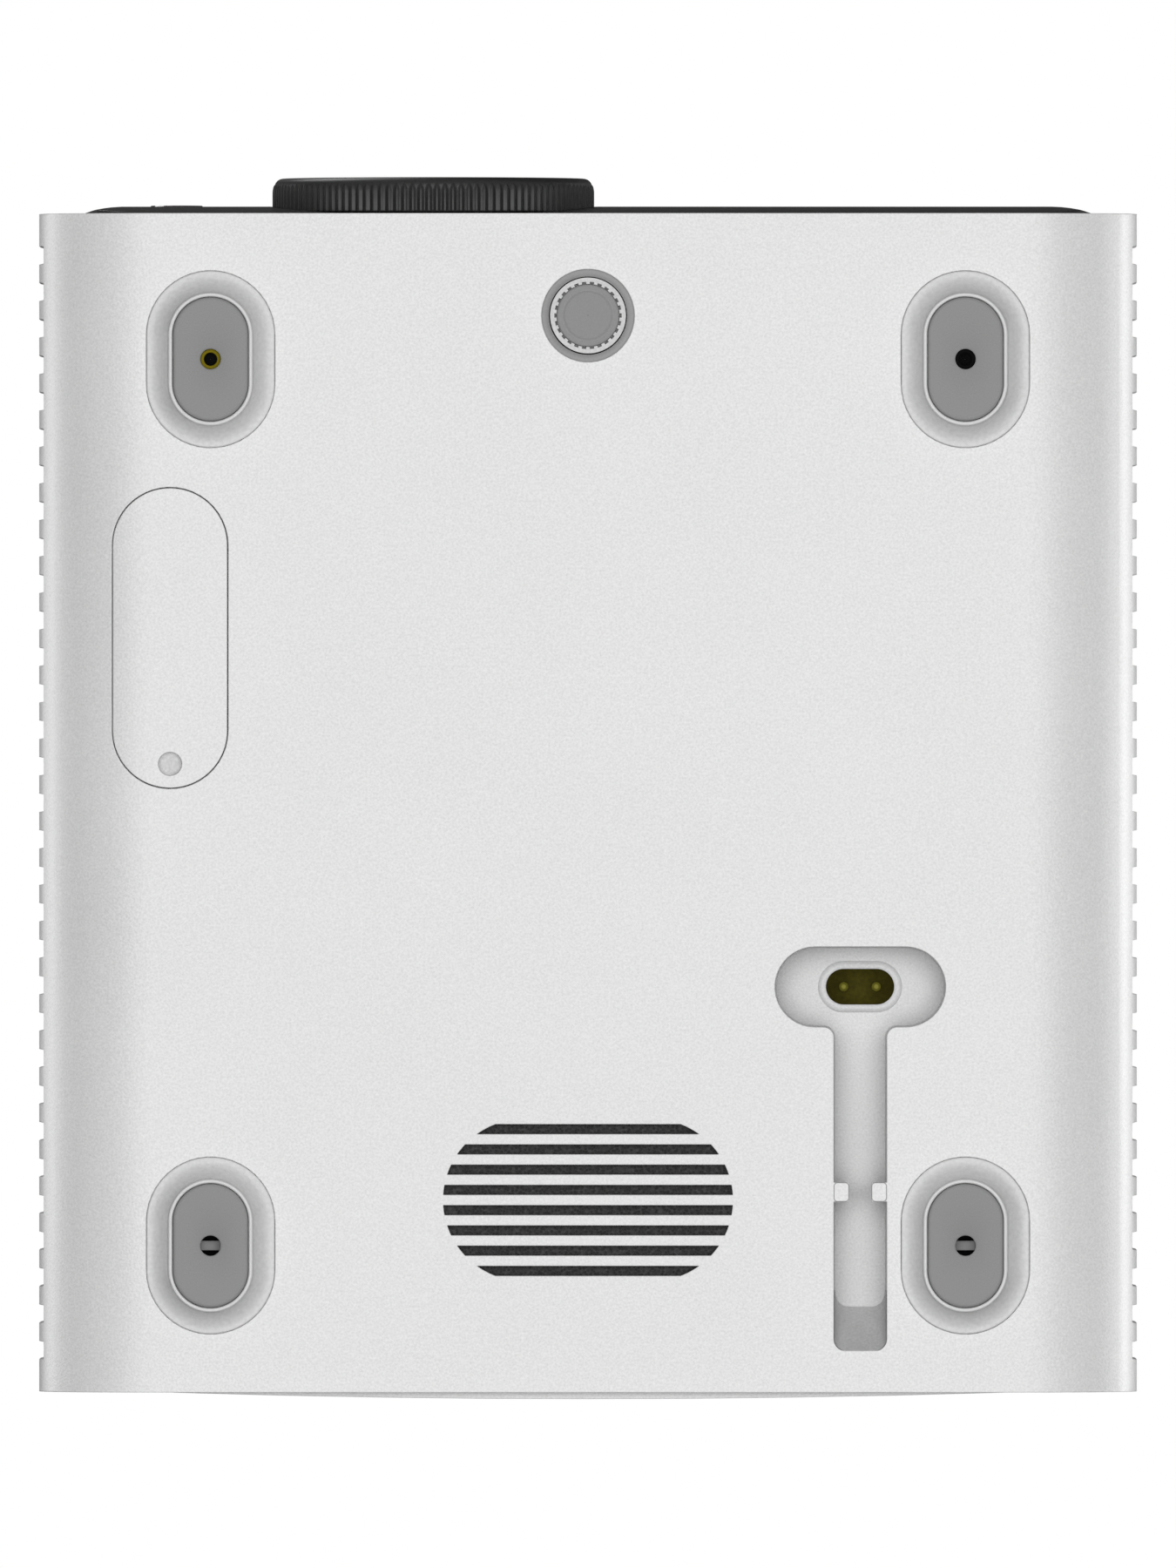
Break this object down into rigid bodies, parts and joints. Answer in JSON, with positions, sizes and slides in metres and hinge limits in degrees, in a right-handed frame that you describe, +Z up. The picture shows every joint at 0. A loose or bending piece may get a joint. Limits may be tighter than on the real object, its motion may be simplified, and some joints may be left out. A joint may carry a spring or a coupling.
{
  "type": "video projector with disc tray",
  "caption": "Home projector with a ribbed pale case, a knurled focus ring, a pull-out disc tray, screw foot, filter hatch, cord channel and rear sockets.",
  "frame": {"origin": "on the table, in the middle of the bounding box of the projector standing on its four feet", "axes": "+Z up, the lens and the disc door face -Y, +X to the right seen from the front"},
  "size_m": [0.29, 0.3222, 0.1052],
  "materials": {
    "pale_plastic": "fine spark-eroded grain, pale grey moulded plastic",
    "black_panel": "smooth black moulded panel",
    "smoked_window": "polished smoked plastic",
    "ring_plastic": "satin black moulded plastic with fine ridges",
    "dark_plastic": "dark grey moulded plastic",
    "lens_glass": "coated optical glass",
    "cast_metal": "as-cast and machined",
    "sheet_steel": "plated sheet and wire",
    "brass": "turned brass",
    "grey_rubber": "matt moulded rubber",
    "foam": "open-cell filter foam",
    "cone_paper": "pressed paper cone",
    "circuit_board": "solder-masked board",
    "key_plastic": "satin dark keys",
    "jack_yellow": "moulded yellow plastic",
    "jack_white": "moulded white plastic",
    "jack_red": "moulded red plastic"
  },
  "bodies": {
    "case": {"bottom_shell": "pale_plastic", "drive_pan": "sheet_steel", "exhaust_fan_frame": "dark_plastic", "foot_front_left": "pale_plastic", "foot_front_right": "pale_plastic", "foot_pad_front_left": "grey_rubber", "foot_pad_front_right": "grey_rubber", "foot_pad_rear_left": "grey_rubber", "foot_pad_rear_right": "grey_rubber", "foot_rear_left": "pale_plastic", "foot_rear_right": "pale_plastic", "front_bezel": "black_panel", "hdmi_socket": "sheet_steel", "inlet_pins": "sheet_steel", "insert_front_left": "brass", "insert_front_right": "sheet_steel", "key_board": "circuit_board", "lamp_fan_frame": "dark_plastic", "lamp_module": "cast_metal", "left_sound_jack": "jack_white", "lens_mount": "dark_plastic", "light_engine": "cast_metal", "main_board": "circuit_board", "phone_socket": "dark_plastic", "power_board": "circuit_board", "power_inlet": "dark_plastic", "rear_panel": "pale_plastic", "remote_window": "smoked_window", "right_sound_jack": "jack_red", "speaker_cone": "cone_paper", "speaker_frame": "dark_plastic", "speaker_mesh": "sheet_steel", "tilt_collar": "dark_plastic", "top_cover": "pale_plastic", "usb_socket": "sheet_steel", "video_jack": "jack_yellow"},
    "focus_ring": {"focus_ring": "ring_plastic"},
    "lens_barrel": {"lens_barrel": "dark_plastic", "front_lens": "lens_glass", "rear_lens": "lens_glass"},
    "tilt_foot": {"tilt_column": "pale_plastic"},
    "tilt_knob": {"tilt_knob": "pale_plastic", "tilt_pad": "grey_rubber"},
    "tray": {"disc_tray": "dark_plastic", "tray_door": "black_panel", "spindle_motor": "sheet_steel", "guide_rods": "sheet_steel"},
    "turntable": {"turntable": "key_plastic"},
    "pickup": {"laser_pickup": "dark_plastic"},
    "filter_hatch": {"filter_hatch": "pale_plastic", "filter_foam": "foam"},
    "exhaust_fan": {"exhaust_fan_wheel": "dark_plastic"},
    "lamp_fan": {"lamp_fan_wheel": "dark_plastic"},
    "power_key": {"power_key": "key_plastic"},
    "eject_key": {"eject_key": "key_plastic"},
    "play_key": {"play_key": "key_plastic"},
    "stop_key": {"stop_key": "key_plastic"},
    "arrow_ring": {"arrow_ring": "key_plastic"},
    "enter_key": {"enter_key": "key_plastic"}
  },
  "joints": [
    {"name": "focus_turn", "type": "hinge", "parent": "case", "child": "focus_ring", "pos_m": [-0.0409, -0.15165, 0.0475], "axis": [0, 1, 0], "range_deg": [0, 120]},
    {"name": "barrel_slide", "type": "slide", "parent": "case", "child": "lens_barrel", "axis": [0, -1, 0], "range_m": [0, 0.004]},
    {"name": "tilt_slide", "type": "slide", "parent": "case", "child": "tilt_foot", "axis": [0, 0, -1], "range_m": [0, 0.022]},
    {"name": "tilt_turn", "type": "hinge", "parent": "tilt_foot", "child": "tilt_knob", "pos_m": [0, -0.1246, 0.004], "axis": [0, 0, 1], "range_deg": [0, 990]},
    {"name": "tray_slide", "type": "slide", "parent": "case", "child": "tray", "axis": [0, -1, 0], "range_m": [0, 0.118]},
    {"name": "disc_spin", "type": "hinge", "parent": "tray", "child": "turntable", "pos_m": [0.067, -0.08565, 0.056], "axis": [0, 0, 1], "continuous": true},
    {"name": "pickup_slide", "type": "slide", "parent": "tray", "child": "pickup", "axis": [0, -1, 0], "range_m": [0, 0.02]},
    {"name": "hatch_slide", "type": "slide", "parent": "case", "child": "filter_hatch", "axis": [0, 0, -1], "range_m": [0, 0.016]},
    {"name": "exhaust_fan_spin", "type": "hinge", "parent": "case", "child": "exhaust_fan", "pos_m": [-0.088, 0.14885, 0.055], "axis": [0, 1, 0], "continuous": true},
    {"name": "lamp_fan_spin", "type": "hinge", "parent": "case", "child": "lamp_fan", "pos_m": [-0.0409, 0.05675, 0.055], "axis": [0, 1, 0], "continuous": true},
    {"name": "power_key_press", "type": "slide", "parent": "case", "child": "power_key", "axis": [0, 0, -1], "range_m": [0, 0.0008], "stiffness_N_per_m": 400, "springref_m": -0.0002},
    {"name": "eject_key_press", "type": "slide", "parent": "case", "child": "eject_key", "axis": [0, 0, -1], "range_m": [0, 0.0008], "stiffness_N_per_m": 400, "springref_m": -0.0002},
    {"name": "play_key_press", "type": "slide", "parent": "case", "child": "play_key", "axis": [0, 0, -1], "range_m": [0, 0.0008], "stiffness_N_per_m": 400, "springref_m": -0.0002},
    {"name": "stop_key_press", "type": "slide", "parent": "case", "child": "stop_key", "axis": [0, 0, -1], "range_m": [0, 0.0008], "stiffness_N_per_m": 400, "springref_m": -0.0002},
    {"name": "arrow_ring_press", "type": "slide", "parent": "case", "child": "arrow_ring", "axis": [0, 0, -1], "range_m": [0, 0.0008], "stiffness_N_per_m": 400, "springref_m": -0.0002},
    {"name": "enter_key_press", "type": "slide", "parent": "case", "child": "enter_key", "axis": [0, 0, -1], "range_m": [0, 0.0008], "stiffness_N_per_m": 400, "springref_m": -0.0002}
  ],
  "couplings": [
    {"joint": "barrel_slide", "follows": "focus_turn", "m_per_rad": 0.0019},
    {"joint": "tilt_turn", "follows": "tilt_slide", "rad_per_m": 785}
  ]
}
